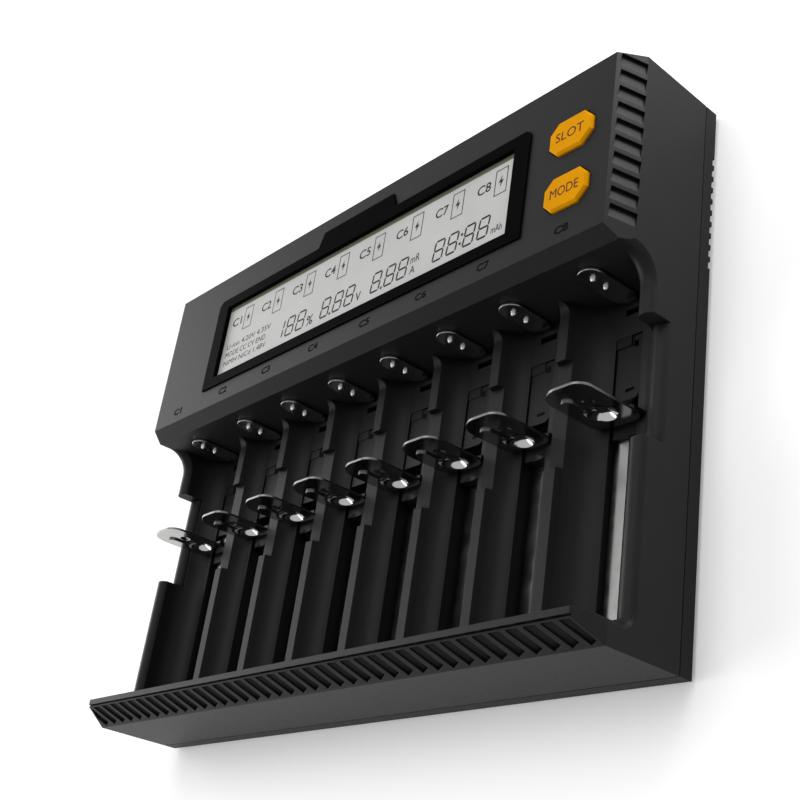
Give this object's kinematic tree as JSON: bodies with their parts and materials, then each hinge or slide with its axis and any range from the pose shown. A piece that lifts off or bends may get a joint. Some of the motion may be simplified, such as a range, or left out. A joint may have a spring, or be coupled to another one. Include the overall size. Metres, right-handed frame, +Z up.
{
  "type": "battery charger",
  "caption": "Desktop charger for loose round rechargeable cells: a row of open bays with sprung sliders below a sloping-edged head with a display and push buttons.",
  "frame": {"origin": "centre of the case's footprint, on the surface that its rubber feet stand on", "axes": "+X across the bays from the first to the last, +Y from the low end to the display head, +Z up out of the bays"},
  "size_m": [0.205, 0.148, 0.0362],
  "materials": {
    "shell_plastic": "fine satin black moulding",
    "cover_plastic": "fine satin black moulding",
    "carriage_plastic": "smooth black moulding",
    "black_plastic": "matt black moulding",
    "white_plastic": "white light guide",
    "gloss_black": "gloss black",
    "display_glass": "pale grey liquid crystal display",
    "button_orange": "satin orange moulding",
    "board": "green solder mask",
    "ferrite": "grey ferrite",
    "capacitor_sleeve": "dark blue sleeve",
    "nickel": "bright nickel plating",
    "spring_steel": "drawn spring wire",
    "screw_steel": "zinc plated",
    "rubber": "black rubber"
  },
  "bodies": {
    "housing": {"upper_shell": "shell_plastic", "back_cover": "cover_plastic", "display_bezel": "gloss_black", "display_glass": "display_glass", "display_backlight": "white_plastic", "display_board": "board", "main_board": "board", "board_header": "black_plastic", "tact_switches": "nickel", "dc_jack": "black_plastic", "power_inductors": "ferrite", "capacitors": "capacitor_sleeve", "control_chips": "black_plastic", "contact_rails": "nickel", "slot_covers": "carriage_plastic", "case_screws": "screw_steel", "board_screws": "screw_steel", "rubber_feet": "rubber", "contact_1": "nickel", "contact_2": "nickel", "contact_3": "nickel", "contact_4": "nickel", "contact_5": "nickel", "contact_6": "nickel", "contact_7": "nickel", "contact_8": "nickel", "spring_1": "spring_steel", "spring_2": "spring_steel", "spring_3": "spring_steel", "spring_4": "spring_steel", "spring_5": "spring_steel", "spring_6": "spring_steel", "spring_7": "spring_steel", "spring_8": "spring_steel"},
    "slider_1": {"slider_plate_1": "nickel", "carriage_1": "carriage_plastic"},
    "slider_2": {"slider_plate_2": "nickel", "carriage_2": "carriage_plastic"},
    "slider_3": {"slider_plate_3": "nickel", "carriage_3": "carriage_plastic"},
    "slider_4": {"slider_plate_4": "nickel", "carriage_4": "carriage_plastic"},
    "slider_5": {"slider_plate_5": "nickel", "carriage_5": "carriage_plastic"},
    "slider_6": {"slider_plate_6": "nickel", "carriage_6": "carriage_plastic"},
    "slider_7": {"slider_plate_7": "nickel", "carriage_7": "carriage_plastic"},
    "slider_8": {"slider_plate_8": "nickel", "carriage_8": "carriage_plastic"},
    "slot_button": {"button_slot": "button_orange", "plunger_slot": "black_plastic"},
    "mode_button": {"button_mode": "button_orange", "plunger_mode": "black_plastic"}
  },
  "joints": [
    {"name": "slider_1_slide", "type": "slide", "parent": "housing", "child": "slider_1", "axis": [0, -1, 0], "range_m": [0, 0.043], "stiffness_N_per_m": 60, "springref_m": -0.02, "deforming": ["spring_1"]},
    {"name": "slider_2_slide", "type": "slide", "parent": "housing", "child": "slider_2", "axis": [0, -1, 0], "range_m": [0, 0.043], "stiffness_N_per_m": 60, "springref_m": -0.02, "deforming": ["spring_2"]},
    {"name": "slider_3_slide", "type": "slide", "parent": "housing", "child": "slider_3", "axis": [0, -1, 0], "range_m": [0, 0.043], "stiffness_N_per_m": 60, "springref_m": -0.02, "deforming": ["spring_3"]},
    {"name": "slider_4_slide", "type": "slide", "parent": "housing", "child": "slider_4", "axis": [0, -1, 0], "range_m": [0, 0.043], "stiffness_N_per_m": 60, "springref_m": -0.02, "deforming": ["spring_4"]},
    {"name": "slider_5_slide", "type": "slide", "parent": "housing", "child": "slider_5", "axis": [0, -1, 0], "range_m": [0, 0.043], "stiffness_N_per_m": 60, "springref_m": -0.02, "deforming": ["spring_5"]},
    {"name": "slider_6_slide", "type": "slide", "parent": "housing", "child": "slider_6", "axis": [0, -1, 0], "range_m": [0, 0.043], "stiffness_N_per_m": 60, "springref_m": -0.02, "deforming": ["spring_6"]},
    {"name": "slider_7_slide", "type": "slide", "parent": "housing", "child": "slider_7", "axis": [0, -1, 0], "range_m": [0, 0.043], "stiffness_N_per_m": 60, "springref_m": -0.02, "deforming": ["spring_7"]},
    {"name": "slider_8_slide", "type": "slide", "parent": "housing", "child": "slider_8", "axis": [0, -1, 0], "range_m": [0, 0.043], "stiffness_N_per_m": 60, "springref_m": -0.02, "deforming": ["spring_8"]},
    {"name": "slot_press", "type": "slide", "parent": "housing", "child": "slot_button", "axis": [0, 0, -1], "range_m": [0, 0.0006], "stiffness_N_per_m": 1500, "springref_m": -0.0004},
    {"name": "mode_press", "type": "slide", "parent": "housing", "child": "mode_button", "axis": [0, 0, -1], "range_m": [0, 0.0006], "stiffness_N_per_m": 1500, "springref_m": -0.0004}
  ]
}
